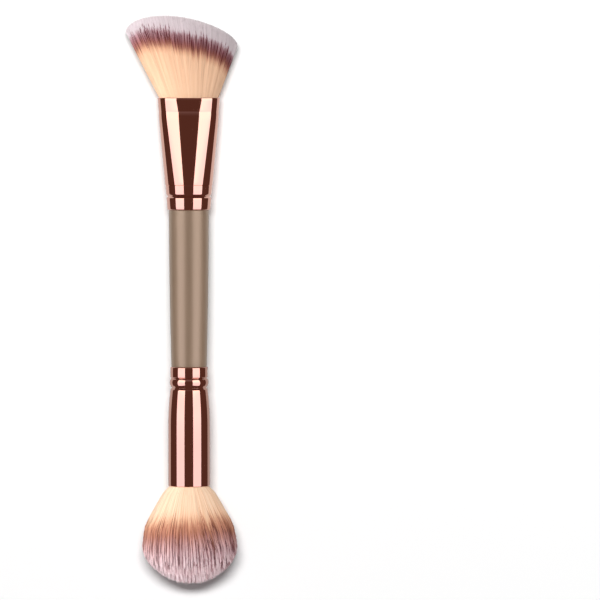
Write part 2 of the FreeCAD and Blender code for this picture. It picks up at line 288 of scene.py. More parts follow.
def streak_group():
    """Noise on Object coordinates, stretched along Y, sent out as a roughness and a height."""
    group, given, result = new_group(
        "polish_streaks",
        [("Scale", "NodeSocketFloat", 900.0), ("Stretch", "NodeSocketFloat", 0.05),
         ("Low", "NodeSocketFloat", 0.1), ("High", "NodeSocketFloat", 0.2)],
        [("Roughness", "NodeSocketFloat"), ("Height", "NodeSocketFloat")],
    )
    nodes, links = group.nodes, group.links
    squeeze = nodes.new("ShaderNodeCombineXYZ")
    fill(links, squeeze, {"X": 1, "Y": given.outputs["Stretch"], "Z": 1})
    stretched = work_out(
        nodes, links, "MULTIPLY", object_place(nodes), squeeze.outputs["Vector"], "ShaderNodeVectorMath"
    )
    noise = nodes.new("ShaderNodeTexNoise")
    fill(links, noise, {"Vector": stretched, "Scale": given.outputs["Scale"], "Detail": 4})
    spread = nodes.new("ShaderNodeMapRange")
    fill(links, spread, {
        "Value": noise.outputs["Fac"], "From Min": 0.3, "From Max": 0.7,
        "To Min": given.outputs["Low"], "To Max": given.outputs["High"],
    })
    links.new(spread.outputs["Result"], result.inputs["Roughness"])
    links.new(noise.outputs["Fac"], result.inputs["Height"])
    return group


polish_streaks = streak_group()


def add_streaks(nodes, links, values, bump):
    """Place the streak group and let it drive the shader's roughness and a very shallow bump."""
    shader = nodes["Principled BSDF"]
    streaks = nodes.new("ShaderNodeGroup")
    streaks.node_tree = polish_streaks
    fill(links, streaks, values)
    relief = nodes.new("ShaderNodeBump")
    fill(links, relief, {"Strength": bump, "Distance": MM / 100, "Height": streaks.outputs["Height"]})
    fill(links, shader, {"Roughness": streaks.outputs["Roughness"], "Normal": relief.outputs["Normal"]})
    return streaks


# %% [markdown]
# ## Rose gold plating
#
# The ferrules are thin sheet, plated and polished until they mirror the room. Nearly all of their
# look is reflection: the colour below only tints what they mirror. Their sides mirror pale cards on
# the floor and turn pink; those cards are painted shade, grey in place of the shaded floor beside
# the brush. The dark stripes mirror the dark cards of the studio.

# %% The plating
ROSE_GOLD = (0.78, 0.425, 0.335, 1)


def plating():
    material, nodes, links = new_material("rose_gold_plating")
    fill(links, nodes["Principled BSDF"], {"Base Color": ROSE_GOLD, "Metallic": 1})
    add_streaks(nodes, links, {"Scale": 700, "Stretch": 0.04, "Low": 0.03, "High": 0.06}, bump=0.02)
    return material


rose_gold = plating()

# %% [markdown]
# ## Taupe lacquer
#
# The handle is sprayed with a taupe lacquer that holds fine pearl pigment. The pigment lies flat, so
# the lacquer brightens softly where the lights fall on it, more than a plain paint would. Here that
# is a partly metallic base under a rather rough surface, with a finer clear coat on top.

# %% The lacquer
TAUPE = (0.315, 0.222, 0.153, 1)
DEEP_TAUPE = (0.268, 0.187, 0.127, 1)


def lacquer():
    material, nodes, links = new_material("taupe_lacquer")
    grain = {"Scale": 500, "Stretch": 0.06, "Low": 0.33, "High": 0.41}
    streaks = add_streaks(nodes, links, grain, bump=0.1)
    tint = blend(nodes, links, streaks.outputs["Height"], DEEP_TAUPE, TAUPE)
    fill(links, nodes["Principled BSDF"], {
        "Base Color": tint, "Metallic": 0.5, "Coat Weight": 0.25, "Coat Roughness": 0.25,
    })
    return material


taupe = lacquer()

# %% [markdown]
# ## The handle
#
# The handle is one length of wood, a slight barrel that is wider at the slanted head. Each end steps
# down to a tenon that the ferrule's sheet is crimped on. The tenons are hidden, but they are turned
# too, because the mesh of a piece should be as whole as the piece.

# %% Turn the handle
WIDE_RADIUS = 6.7
SLIM_RADIUS = 5.9
GRIP_BELLY = 0.13
TENON_WIDE = 6.4
TENON_SLIM = 5.3
WIDE_TENON_LENGTH = 11.0
SLIM_TENON_LENGTH = 12.0
LEAD_LENGTH = 2.0
LEAD_DEPTH = 0.4
LEAD_ROUND = 0.2
SHOULDER_ROUND = 0.15
INNER_ROUND = 0.05


def tenon(radius, shoulder, length):
    """The corners of a tenon, from its tip to the shoulder. A negative length points down the axis."""
    lead = math.copysign(LEAD_LENGTH, length)
    return [
        (0, shoulder + length),
        (radius - LEAD_DEPTH, shoulder + length, LEAD_ROUND),
        (radius, shoulder + length - lead, LEAD_ROUND),
        (radius, shoulder, INNER_ROUND),
    ]


def turn_handle():
    half = HALF_GRIP / MM
    piece = turn("turned_handle", [
        *tenon(TENON_SLIM, -half, -SLIM_TENON_LENGTH),
        (SLIM_RADIUS, -half, SHOULDER_ROUND),
        *bow((SLIM_RADIUS, -half), (WIDE_RADIUS, half), GRIP_BELLY, steps=16),
        (WIDE_RADIUS, half, SHOULDER_ROUND),
        *reversed(tenon(TENON_WIDE, half, WIDE_TENON_LENGTH)),
    ])
    smooth(piece)
    finish(piece, "handle", taupe)


turn_handle()

# %% [markdown]
# ## The round ferrule
#
# This ferrule is a drawn tube. A roller has pressed two grooves into it to lock it on the wood: a
# fine one that leaves a ring at the rim and a wide one that leaves a bead between them. Past the
# grooves the tube flares a little and then runs straight to its mouth. Its wall is half a millimetre
# of sheet, rolled in at the rim and rounded at the mouth.

# %% Spin the round ferrule
SHEET = 0.5
TUBE_RIM = 6.25
TUBE_FLARE = 0.75
FLARE_END = 20.0
RING_GROOVE = (3.8, 0.36, 0.3)
BEAD_GROOVE = (7.0, 0.66, 0.42)
BEAD_BULGE = 0.22
RIM_ROUND = 0.42
LIP_ROUND = 0.16
GROOVE_FLOOR_ROUND = 0.03
RIM_START = 0.1


def groove(radius, groove_place, before, after):
    """The corners of a rolled groove, with the roundings of its shoulders before and after it."""
    station, half, depth = groove_place
    return [
        (radius, station - half, before),
        (radius - depth, station, GROOVE_FLOOR_ROUND),
        (radius, station + half, after),
    ]


def flare(start, steps=14):
    """The outside between the last groove and the straight part, upright where it ends."""
    points = []
    for step in range(1, steps + 1):
        share = step / steps
        station = start + (FLARE_END - start) * share
        points.append((TUBE_RIM + TUBE_FLARE * (1 - (1 - share) ** 2), station))
    return points


def spin_round_ferrule():
    length = (ROUND_MOUTH - HALF_GRIP) / MM
    bead_start = RING_GROOVE[0] + RING_GROOVE[1]
    bead_end = BEAD_GROOVE[0] - BEAD_GROOVE[1]
    flare_start = BEAD_GROOVE[0] + BEAD_GROOVE[1]
    mouth = TUBE_RIM + TUBE_FLARE
    piece = turn("round_ferrule_sheet", [
        (TUBE_RIM - SHEET, RIM_START),
        (TUBE_RIM - SHEET, 0, INNER_ROUND),
        (TUBE_RIM, 0, RIM_ROUND),
        *groove(TUBE_RIM, RING_GROOVE, 0.14, 0.5),
        *bow((TUBE_RIM, bead_start), (TUBE_RIM, bead_end), BEAD_BULGE, steps=6),
        *groove(TUBE_RIM, BEAD_GROOVE, 0.5, 0.7),
        *flare(flare_start),
        (mouth, length, LIP_ROUND),
        (mouth - SHEET, length, LIP_ROUND),
        (mouth - SHEET, FLARE_END),
        (TUBE_RIM - SHEET, flare_start + 1),
        (TUBE_RIM - SHEET - BEAD_GROOVE[2], BEAD_GROOVE[0]),
        (TUBE_RIM - SHEET, bead_end),
        (TUBE_RIM - SHEET, RIM_START),
    ], towards=-1)
    piece.data.transform(Matrix.Translation((0, -HALF_GRIP, 0)))
    smooth(piece, degrees=50)
    finish(piece, "round_ferrule", rose_gold)


spin_round_ferrule()

# %% [markdown]
# ## The pressed ferrule
#
# The other ferrule starts as a round collar with one groove, and then a press flattens it until its
# mouth is an oval. The oval has four arcs, two round ends and two nearly flat faces, and its normals
# decide where the stripes of light run. So each ring of the mesh is laid out by the direction that
# its points face, which spreads the points just where the reflections need them. The tube is
# extruded ring by ring from a circle, and each ring is then moved onto its section.

# %% The section of the pressed ferrule
RING_POINTS = 160
COLLAR_RIM = WIDE_RADIUS + 0.5
COLLAR_SWAGE = 0.65
SHELL_START = 8.3
SHELL_STEP = 0.1
PRESSED_LENGTH = (ANGLED_MOUTH - HALF_GRIP) / MM
MOUTH_HALF_WIDTH = 10.43
MOUTH_HALF_THICKNESS = 6.65
MOUTH_END_RADIUS = 6.0
MOUTH_NIP = 0.1
BAND_HEIGHT = 4.6
BAND_TAPER = 0.38
PRESS_DEPTH = 0.16
SHOULDER = 3.0
COLLAR_GROOVE = (4.5, 0.45)


def oval_point(facing, half_width, half_thickness):
    """The point of a four-arc oval whose normal points in the direction facing, an angle from X."""
    run = half_width - MOUTH_END_RADIUS
    rise = half_thickness - MOUTH_END_RADIUS
    flat = (run ** 2 + half_thickness ** 2 - MOUTH_END_RADIUS ** 2) / (2 * rise)
    drop = flat - half_thickness
    x, z = abs(math.cos(facing)), abs(math.sin(facing))
    if math.atan2(z, x) < math.atan2(drop, run):
        point = Vector((run + MOUTH_END_RADIUS * x, MOUTH_END_RADIUS * z))
    else:
        point = Vector((flat * x, flat * z - drop))
    return Vector((math.copysign(point.x, math.cos(facing)), math.copysign(point.y, math.sin(facing))))


def pressed_point(station, facing):
    """The outside of the ferrule at a station, for the direction that the surface faces there."""
    outward = Vector((math.cos(facing), math.sin(facing)))
    collar = COLLAR_RIM + COLLAR_SWAGE * min(station, SHELL_START) / SHELL_START
    if station <= SHELL_START:
        return outward * collar
    band = PRESSED_LENGTH - BAND_HEIGHT
    share = min(1, (station - SHELL_START) / (band - SHELL_START))
    taper = BAND_TAPER * (1 - max(0, station - band) / BAND_HEIGHT)
    nip = MOUTH_NIP * max(0, station - band) / BAND_HEIGHT
    oval = oval_point(facing, MOUTH_HALF_WIDTH - taper, MOUTH_HALF_THICKNESS + MOUTH_NIP - nip)
    shoulder = min(1, max(0, station - band + SHOULDER) / SHOULDER)
    stand = PRESS_DEPTH * (1 - shoulder ** 2) * share
    return (outward * (collar + SHELL_STEP)).lerp(oval, share) + outward * stand


# %% Extrude the rings and move them onto their sections


def groove_rings():
    """Rings (station, depth below the outside) of the groove: a crisp rim side and a soft far side."""
    station, depth = COLLAR_GROOVE
    crisp = [(-0.5, 0), (-0.46, 0.03), (-0.4, 0.12), (-0.03, 0.96), (0, 1)]
    soft = [(0.04, 0.97), (0.3, 0.62), (0.5, 0.35), (0.65, 0.17), (0.8, 0.05), (0.9, 0.01), (1.0, 0)]
    return [(station + place, depth * share) for place, share in crisp + soft]


def pressed_rings():
    """Rings (station, depth below the outside) from the rim to the mouth and back inside the sheet."""
    start, end = SHELL_START, PRESSED_LENGTH
    band = end - BAND_HEIGHT
    shell_run = band - SHOULDER - start
    rim = [(0.0, 0.45), (0.03, 0.29), (0.12, 0.13), (0.27, 0.03), (0.45, 0.0), (1.2, 0.0), (3.0, 0.0)]
    step = [(6.5, 0), (start - 0.2, 0), (start - 0.06, 0.01), (start, 0.07)]
    foot = [(start + 0.07, 0.01), (start + 0.2, 0)]
    shell = [(start + shell_run * share, 0) for share in (0.05, 0.25, 0.5, 0.75, 1)]
    shoulder = [(band - SHOULDER * (1 - share), 0) for share in (0.2, 0.4, 0.6, 0.75, 0.88, 0.96)]
    crease = [(band - 0.04, 0), (band, 0.008), (band + 0.06, 0.008), (band + 0.12, 0), (band + 0.5, 0)]
    mouth_band = [(end - 0.9, 0), (end - 0.16, 0), (end - 0.05, 0.04)]
    lip = [(end, 0.14), (end, 0.36), (end - 0.05, 0.46)]
    inside = [(end - 0.2, SHEET), (band, SHEET), (start + 9, SHEET), (start, SHEET), (5.6, SHEET)]
    under_groove = [(COLLAR_GROOVE[0], SHEET + COLLAR_GROOVE[1]), (3.2, SHEET), (0.1, SHEET)]
    outside = rim + groove_rings() + step + foot + shell + shoulder + crease + mouth_band + lip
    return outside + inside + under_groove


def extrude_rings(name, corners, count):
    """A tube of count rings along Z, one unit apart, each with the given number of corners."""
    select_only()
    bpy.ops.mesh.primitive_circle_add(vertices=corners, radius=1)
    piece = bpy.context.object
    piece.name = piece.data.name = name
    with editing():
        for _ in range(count - 1):
            bpy.ops.mesh.extrude_region_move(TRANSFORM_OT_translate={"value": (0, 0, 1)})
    return piece


def make_consistent(piece):
    select_only(piece)
    with editing():
        bpy.ops.mesh.normals_make_consistent(inside=False)


def press_ferrule():
    rings = pressed_rings()
    piece = extrude_rings("angled_ferrule_sheet", RING_POINTS, len(rings))
    with editing("DESELECT"):
        bpy.ops.mesh.select_non_manifold()
        bpy.ops.mesh.bridge_edge_loops()
    for vertex in piece.data.vertices:
        station, inset = rings[round(vertex.co.z)]
        facing = math.atan2(vertex.co.y, vertex.co.x)
        point = pressed_point(station, facing) - Vector((math.cos(facing), math.sin(facing))) * inset
        vertex.co = Vector((point.x * MM, HALF_GRIP + station * MM, point.y * MM))
    make_consistent(piece)
    smooth(piece, degrees=50)
    finish(piece, "angled_ferrule", rose_gold)


press_ferrule()

# %% [markdown]
# ## Dyed filaments
#
# Each head is a bundle of synthetic filaments that were dyed in bands: cream at the root, a dark
# band near the end and pale lilac tips. The bands are measured from the tip, and no two filaments
# sit at quite the same height, so the border between two bands is jagged. So every filament stores
# how far each of its points is from the tip, and a colour ramp turns that distance into dye.
#
# A real head has far more filaments than a mesh should carry. A smooth core fills the middle, dyed
# by the same rule, and the filaments that show stand in front of it. One filament is modelled by
# hand, a three sided needle. Then it is copied thousands of times and bent along its own path.

# %% Model one filament as a template
FILAMENT_SIDES = 3
AT_MOUTH = 0.15
NEEDLE_WELD = 0.0001


def model_filament(name, rings, taper):
    """A needle of unit length along Z, with a ring at each of the given heights."""
    select_only()
    bpy.ops.mesh.primitive_circle_add(vertices=FILAMENT_SIDES, radius=1, fill_type="NGON")
    needle = bpy.context.object
    needle.name = needle.data.name = name
    with editing():
        bpy.ops.mesh.duplicate()
        bpy.ops.mesh.flip_normals()
        bpy.ops.mesh.select_all(action="INVERT")
        for before, after in zip(rings, rings[1:]):
            bpy.ops.mesh.extrude_region_move(TRANSFORM_OT_translate={"value": (0, 0, after - before)})
        weld(NEEDLE_WELD)
    heights = np.array([vertex.co.z for vertex in needle.data.vertices])
    section = np.array([vertex.co[:2] for vertex in needle.data.vertices])
    faces = [list(face.vertices) for face in needle.data.polygons]
    bpy.data.objects.remove(needle)
    width = np.interp(heights, rings, taper)
    print(name, "has", len(heights), "vertices and", len(faces), "faces")
    return {"heights": heights, "section": section, "width": width, "faces": faces}


slant_needle = model_filament("slant_filament", (0, AT_MOUTH, 0.42, 0.75, 1), (0.8, 0.9, 1, 0.9, 0.35))
dome_needle = model_filament(
    "dome_filament", (0, AT_MOUTH, 0.26, 0.44, 0.72, 1), (0.8, 0.9, 1, 1, 0.9, 0.35)
)

# %% Small tools for many filaments at once
LENGTH_STEPS = 24


def unit(vectors):
    return vectors / np.linalg.norm(vectors, axis=-1, keepdims=True)


def store(mesh, label, values):
    attribute = mesh.attributes.new(label, "FLOAT", "POINT")
    attribute.data.foreach_set("value", np.asarray(values, np.float32).ravel())


def store_dyes(mesh, dyes, columns):
    """Store the values of a dye column with each point."""
    for label, values in dyes.items():
        store(mesh, label, values[columns])


def path_lengths(path):
    """The length of each path, measured in short straight steps."""
    steps = np.diff(path(np.linspace(0, 1, LENGTH_STEPS)), axis=1)
    return np.linalg.norm(steps, axis=2).sum(1)


# %% Build one mesh of many copies
DYE_PLACES = 64
DYE_KINDS = 16
DARK_KINDS = 8
DYE_COLUMNS = DYE_PLACES * DYE_KINDS
DYE_REACH = 48 * MM


def build_mesh(name, points, faces):
    """A mesh of many copies of the same faces. The points come as (copy, corner, 3)."""
    mesh = bpy.data.meshes.new(name)
    count, corners_each = points.shape[:2]
    corners = np.concatenate([np.array(face) for face in faces])
    sizes = np.tile([len(face) for face in faces], count)
    shift = np.arange(count)[:, None] * corners_each
    mesh.vertices.add(count * corners_each)
    mesh.vertices.foreach_set("co", points.astype(np.float32).ravel())
    mesh.loops.add(count * len(corners))
    mesh.loops.foreach_set("vertex_index", (corners[None] + shift).astype(np.int32).ravel())
    mesh.polygons.add(len(sizes))
    mesh.polygons.foreach_set("loop_start", (np.cumsum(sizes) - sizes).astype(np.int32))
    mesh.polygons.foreach_set("loop_total", sizes.astype(np.int32))
    mesh.update(calc_edges=True)
    piece = bpy.data.objects.new(name, mesh)
    bpy.context.scene.collection.objects.link(piece)
    return piece


def lay_out_dye_map(mesh, columns, from_tip):
    """A map whose columns are dyes and whose height is the distance from the tip, for each corner."""
    dye_map = mesh.uv_layers.new(name="OFBake")
    u = (columns + 0.5) / DYE_COLUMNS
    dye_map.data.foreach_set("uv", np.stack([u, from_tip / DYE_REACH], axis=-1).astype(np.float32).ravel())


# %% Copy the filament along many paths
SOFTNESS = 0.55
NOT_ALONG = np.array([0.3, 0.1, 1.0])


def copy_filaments(name, needle, path, outward, thickness, columns, sunk, dyes):
    """Bend one copy of the needle along each path. path(heights) gives points as (copy, height, 3)."""
    heights = needle["heights"]
    count = len(thickness)
    centres = path(heights)
    along_copy = unit(centres[:, np.argmax(heights)] - centres[:, np.argmin(heights)])
    side = unit(np.cross(along_copy, NOT_ALONG))
    other = np.cross(along_copy, side)
    turns = rng.uniform(0, math.tau, count)[:, None]
    x, y = needle["section"].T
    u, v = x * np.cos(turns) - y * np.sin(turns), x * np.sin(turns) + y * np.cos(turns)
    radial = u[..., None] * side[:, None] + v[..., None] * other[:, None]
    width = (thickness / 2)[:, None] * needle["width"]
    piece = build_mesh(name, centres + radial * width[..., None], needle["faces"])

    from_tip = (1 - heights)[None] * path_lengths(path)[:, None] + (sunk * MM)[:, None]
    store(piece.data, "from_tip", from_tip / MM)
    store_dyes(piece.data, dyes, np.repeat(columns, len(heights)))
    corners = np.concatenate([np.array(face) for face in needle["faces"]])
    lay_out_dye_map(piece.data, np.repeat(columns, len(corners)), from_tip[:, corners].ravel())
    return piece, unit(radial * (1 - SOFTNESS) + outward[:, None] * SOFTNESS)


def set_normals(piece, normals):
    """Round, soft shading: the normals are turned like the piece and then set for each vertex."""
    turned = normals.reshape(-1, 3) @ np.array(lay.to_3x3()).T
    piece.data.normals_split_custom_set_from_vertices(turned)


# %% [markdown]
# ## The dye
#
# The ramps below run from the tip to the root, in millimetres. One is for filaments that took much
# dye and the other for those that took little. At each place across a head there are sixteen kinds
# of filament. Half of them took the dye darkly, and their dark band sits a little higher or lower,
# so they show as fine dark streaks; in the domed head these streaks are also painted shade between
# its locks. Each column of the dye map is one kind at one place. A slow change across the head keeps
# one side warmer, and its darkening of the right side is painted shade.

# %% Make a dye from two ramps
RAMP_REACH = 32


def srgb(colour):
    """A colour as it shows on a screen, 0 to 255, turned into the linear values that shaders use."""
    shown = [channel / 255 for channel in colour]
    return [value / 12.92 if value <= 0.04045 else ((value + 0.055) / 1.055) ** 2.4 for value in shown]


def read_attribute(nodes, label):
    node = nodes.new("ShaderNodeAttribute")
    node.attribute_name = label
    return node.outputs["Fac"]


def colour_ramp(nodes, links, share, stops):
    """A ramp of colours that a share from 0 to 1 picks from. Stops are (share, linear colour)."""
    ramp = nodes.new("ShaderNodeValToRGB")
    elements = ramp.color_ramp.elements
    while len(elements) < len(stops):
        elements.new(0.5)
    for element, (place, colour) in zip(elements, stops):
        element.position = place
        element.color = (*colour, 1)
    links.new(share, ramp.inputs["Fac"])
    return ramp.outputs["Color"]


def dye_ramp(nodes, links, distance, stops, column):
    """The dye along a filament, from one column of the stops."""
    share = work_out(nodes, links, "DIVIDE", distance, RAMP_REACH)
    shown = [(stop[0] / RAMP_REACH, srgb(stop[column])) for stop in stops]
    return colour_ramp(nodes, links, share, shown)


def dye(name, stops):
    """Stops are (distance from the tip, colour where the dye is strong, colour where it is weak)."""
    material, nodes, links = new_material(name)
    distance = read_attribute(nodes, "from_tip")
    moved = work_out(nodes, links, "ADD", distance, read_attribute(nodes, "dye_shift"))
    strong = dye_ramp(nodes, links, moved, stops, 1)
    weak = dye_ramp(nodes, links, distance, stops, 2)
    tinted = nodes.new("ShaderNodeVectorMath")
    tinted.operation = "SCALE"
    mixed = blend(nodes, links, read_attribute(nodes, "dye_strength"), weak, strong)
    # The scale is the dye's depth by kind and fine streak, times a painted shade that darkens the right
    # side of the head.
    fill(links, tinted, {"Vector": mixed, "Scale": read_attribute(nodes, "dye_depth_and_painted_shade")})
    fill(links, nodes["Principled BSDF"], {
        "Base Color": tinted.outputs["Vector"], "Roughness": 0.5, "Specular IOR Level": 0.25,
    })
    return material


slant_dye = dye("contour_dye", [
    (0, (238, 224, 227), (244, 231, 234)),
    (2.9, (232, 216, 220), (238, 224, 228)),
    (3.8, (166, 118, 126), (230, 210, 214)),
    (4.8, (114, 49, 59), (220, 180, 186)),
    (6.4, (90, 33, 37), (202, 144, 148)),
    (7.8, (122, 60, 50), (194, 128, 120)),
    (9.0, (164, 106, 86), (198, 140, 118)),
    (10.2, (220, 166, 134), (228, 176, 144)),
    (12.0, (243, 198, 163), (245, 201, 167)),
    (27, (245, 202, 168), (247, 206, 173)),
])

# The strong column's dark bands are partly dye and partly painted shade: with the dark kinds they draw the
# shadows between locks.
dome_dye = dye("powder_dye", [
    (0, (234, 200, 204), (251, 234, 237)),
    (1.5, (212, 174, 178), (251, 233, 236)),
    (2.5, (162, 118, 122), (250, 232, 235)),
    (4, (158, 115, 119), (249, 229, 232)),
    (5, (206, 168, 172), (248, 226, 229)),
    (7, (194, 152, 156), (247, 223, 226)),
    (8, (118, 76, 79), (245, 218, 221)),
    (10.5, (104, 62, 63), (236, 200, 201)),
    (11.5, (172, 124, 124), (231, 190, 189)),
    (13, (158, 107, 103), (225, 178, 174)),
    (14, (112, 64, 57), (216, 165, 157)),
    (15.5, (114, 66, 55), (204, 147, 134)),
    (17, (146, 90, 72), (194, 133, 111)),
    (20, (176, 115, 89), (208, 147, 119)),
    (22, (216, 160, 129), (234, 186, 152)),
    (24, (241, 196, 161), (246, 209, 178)),
    (27, (246, 206, 173), (249, 218, 189)),
])

# %% [markdown]
# ## The slanted head
#
# The filaments leave the oval mouth together and fan out in straight lines to a crown that was cut
# at a slant. A filament keeps its place in the bundle all the way: one near the left side of the
# mouth ends near the left side of the crown. The crown is a rounded ridge over a slanted chord.
# Neighbours cling together a little, so their tips gather in small locks.

# %% Places in the bundle
SHELL_DEPTH = 0.3
LOCK_SHELL = 0.3
DISC_EDGE = 0.998

rng = np.random.default_rng(7)


def bundle_places(count, shell_share):
    """Places (u, v) in a unit disc. A share of them lies in the outer part, where they show."""
    angle = rng.uniform(0, math.tau, count)
    distance = np.sqrt(rng.uniform(0, 1, count))
    shell = rng.uniform(0, 1, count) < shell_share
    distance[shell] = 1 - rng.triangular(0, 0, SHELL_DEPTH, shell.sum())
    return distance * np.cos(angle), distance * np.sin(angle)


def lock_centres(count):
    """The places where neighbouring filaments cling together."""
    return np.stack(bundle_places(count, LOCK_SHELL), axis=1)


def gather(u, v, centres, pull):
    """Move places towards the nearest lock centre, and name each one's lock."""
    places = np.stack([u, v], axis=1)
    nearest = np.array([np.argmin(((centres - place) ** 2).sum(1)) for place in places])
    moved = places + (centres[nearest] - places) * pull
    return moved[:, 0], moved[:, 1], nearest


def limit(u, v):
    """Keep places inside the unit disc."""
    over = np.maximum(np.hypot(u, v) / DISC_EDGE, 1)
    return u / over, v / over


def choose_tips(count, shell_share, centres, pull, scatter):
    """Places in the bundle, the places where their tips end up, and the number of each one's lock."""
    u, v = bundle_places(count, shell_share)
    tip_u, tip_v, lock = gather(u, v, centres, pull)
    tip_u = tip_u + rng.normal(0, scatter[0], count)
    tip_v = tip_v + rng.normal(0, scatter[1], count)
    return (u, v), limit(tip_u, tip_v), lock


# %% Kinds of dyed filament
LAST_PLACE = 0.999
STREAK_BASE = 0.4
STRAYS = 0.1
DARK_STRENGTH = (0.95, 1.15)
PALE_STRENGTH = (0, 0.5)
DARK_DEPTH = (0.95, 0.98)
PALE_DEPTH = (0.98, 1.04)


def streak_kinds(across, deep, gaps):
    """A kind for each cell of a grid, fine across the head, with dark kinds at uneven gaps."""
    grid = rng.integers(DARK_KINDS, DYE_KINDS, (across, deep))
    for row in range(deep):
        places = np.cumsum(rng.integers(*gaps, across))
        places = places[places < across]
        grid[places, row] = rng.integers(0, DARK_KINDS, len(places))
    return grid


def cell_of(place, count):
    """The number of the cell that a place lies in, where so many cells lie side by side from -1 to 1."""
    return ((np.clip(place, -1, LAST_PLACE) + 1) / 2 * count).astype(int)


def kinds_at(grid, u, v):
    """The kind of the cell that each place lies in, apart from a few strays that have any kind."""
    stray = rng.uniform(0, 1, len(u)) < STRAYS
    own = grid[cell_of(u, grid.shape[0]), cell_of(v, grid.shape[1])]
    return np.where(stray, rng.integers(0, DYE_KINDS, len(u)), own)


def column_of(u, kind):
    """The dye column of a filament: its place across the head and then its kind."""
    return cell_of(u, DYE_PLACES) * DYE_KINDS + kind


def spread_dyes(shift_range, strength_across, painted_shade_across, streak):
    """The values of each dye column: an even change from left to right, its kind and a fine streak. The
    change in depth is painted shade, darker on the right.
    """
    place = np.repeat(np.linspace(0, 1, DYE_PLACES), DYE_KINDS)
    is_dark = np.arange(DYE_KINDS) < DARK_KINDS

    def draw(dark_range, pale_range):
        dark = rng.uniform(*dark_range, DYE_KINDS)
        pale = rng.uniform(*pale_range, DYE_KINDS)
        return np.tile(np.where(is_dark, dark, pale), DYE_PLACES)

    def change(ends):
        return ends[0] + (ends[1] - ends[0]) * place

    dark_shifts = rng.permutation(np.linspace(-1, 1, DARK_KINDS))
    shift = np.tile(np.concatenate([dark_shifts, np.zeros(DYE_KINDS - DARK_KINDS)]), DYE_PLACES)
    strength = draw(DARK_STRENGTH, PALE_STRENGTH)
    depth = draw(DARK_DEPTH, PALE_DEPTH)
    fine = np.repeat(rng.uniform(-1, 1, DYE_PLACES), DYE_KINDS) * streak * (STREAK_BASE + place)
    return {
        "dye_shift": shift * shift_range,
        "dye_strength": np.clip(strength + change(strength_across), 0, 1),
        # Depth: the kind's own depth, times a painted shade that darkens the right side, plus the fine
        # streak.
        "dye_depth_and_painted_shade": depth * change(painted_shade_across) + fine,
    }


# %% Paths of the slanted head
FAN_LEFT = np.array([-21.2, 21.6])
FAN_RIGHT = np.array([16.3, 16.5])
FAN_RISE = 7.8
FAN_LEAN = 1.6
FAN_THINNING = 0.4
FAN_HALF_THICKNESS = 8.6
ROOT_HALF = np.array([9.75, 5.95])
ROOT_SINK = 5.0
HALVINGS = 24
DIP_SHARE = 0.85
BAND_SLOPE = ((-1, -0.5, 0.1, 1), (0.7, -0.1, -1.0, -1.1))


def crown_climb(u, v):
    """How far up the crown's ridge a place ends, as an angle: 0 at its edge and a right angle on top."""
    low = np.zeros_like(u)
    high = np.full_like(u, math.pi / 2)
    for _ in range(HALVINGS):
        middle = (low + high) / 2
        narrowing = np.cos(middle)
        outside = (u / narrowing) ** 2 + (v / narrowing ** FAN_THINNING) ** 2 > 1
        high = np.where(outside, middle, high)
        low = np.where(outside, low, middle)
    return low


def fan_tips(u, v):
    """Where filaments at (u, v) end over the mouth, in millimetres."""
    chord = FAN_RIGHT - FAN_LEFT
    half_chord = np.linalg.norm(chord) / 2
    sideways = chord / half_chord / 2
    upward = np.array([-sideways[1], sideways[0]])
    climb = crown_climb(u, v)
    run = u * half_chord - FAN_LEAN * np.sin(climb) ** 2
    rise = FAN_RISE * np.sin(climb)
    flat = (FAN_LEFT + FAN_RIGHT) / 2 + run[:, None] * sideways + rise[:, None] * upward
    return np.stack([flat[:, 0], flat[:, 1], v * FAN_HALF_THICKNESS], axis=1)


def fan_sunk(u, v, trim):
    """How much lower the dye starts on a filament because its tip lies below the crown's ridge."""
    below = FAN_RISE * (np.sin(crown_climb(u, np.zeros_like(v))) - np.sin(crown_climb(u, v)))
    return DIP_SHARE * below - trim + np.interp(u, *BAND_SLOPE)


def fan_paths(u, v, tip_u, tip_v, trim):
    """Paths from the root past the mouth: straight, then curving as the tip is pulled to its lock."""
    mouth = np.stack([u * ROOT_HALF[0], np.zeros_like(u), v * ROOT_HALF[1]], axis=1)
    root = mouth - np.array([0, ROOT_SINK, 0])
    own_tip = fan_tips(u, v)
    pull = fan_tips(tip_u, tip_v) - own_tip
    cut = unit(own_tip - mouth) * trim[:, None]

    def path(heights):
        heights = np.asarray(heights)[None, :, None]
        inside = np.clip(heights / AT_MOUTH, 0, 1)
        outside = np.clip((heights - AT_MOUTH) / (1 - AT_MOUTH), 0, 1)
        straight = root[:, None] * (1 - inside) + mouth[:, None] * inside
        reach = (own_tip - mouth + cut)[:, None] * outside + pull[:, None] * outside ** 2
        return (straight + reach) * MM + np.array([0, ANGLED_MOUTH, 0])

    return path


# %% The slanted head's filaments
FAN_COUNT = 7500
FAN_PIECES = 2
FAN_LOCKS = 420
FAN_SHELL = 0.5
FAN_PULL = 0.15
FAN_SCATTER = (0.006, 0.015)
FAN_UNEVEN = 0.25
FAN_HALF_WIDTH = 18.9
FAN_THICKNESS = (0.14, 0.22)

# The third value, from 1.03 on the left to 0.565 on the right, is painted shade that darkens the right
# side.
fan_dyes = spread_dyes(1.2, (0.02, 0.5), (1.03, 0.565), 0.035)
fan_centres = lock_centres(FAN_LOCKS)
fan_kinds = streak_kinds(104, 5, (2, 4))


def away(x, z):
    """The way out of the bundle. The tiny number gives the very middle a way out too."""
    return unit(np.stack([x, np.zeros_like(x), z + 1e-6], axis=1))


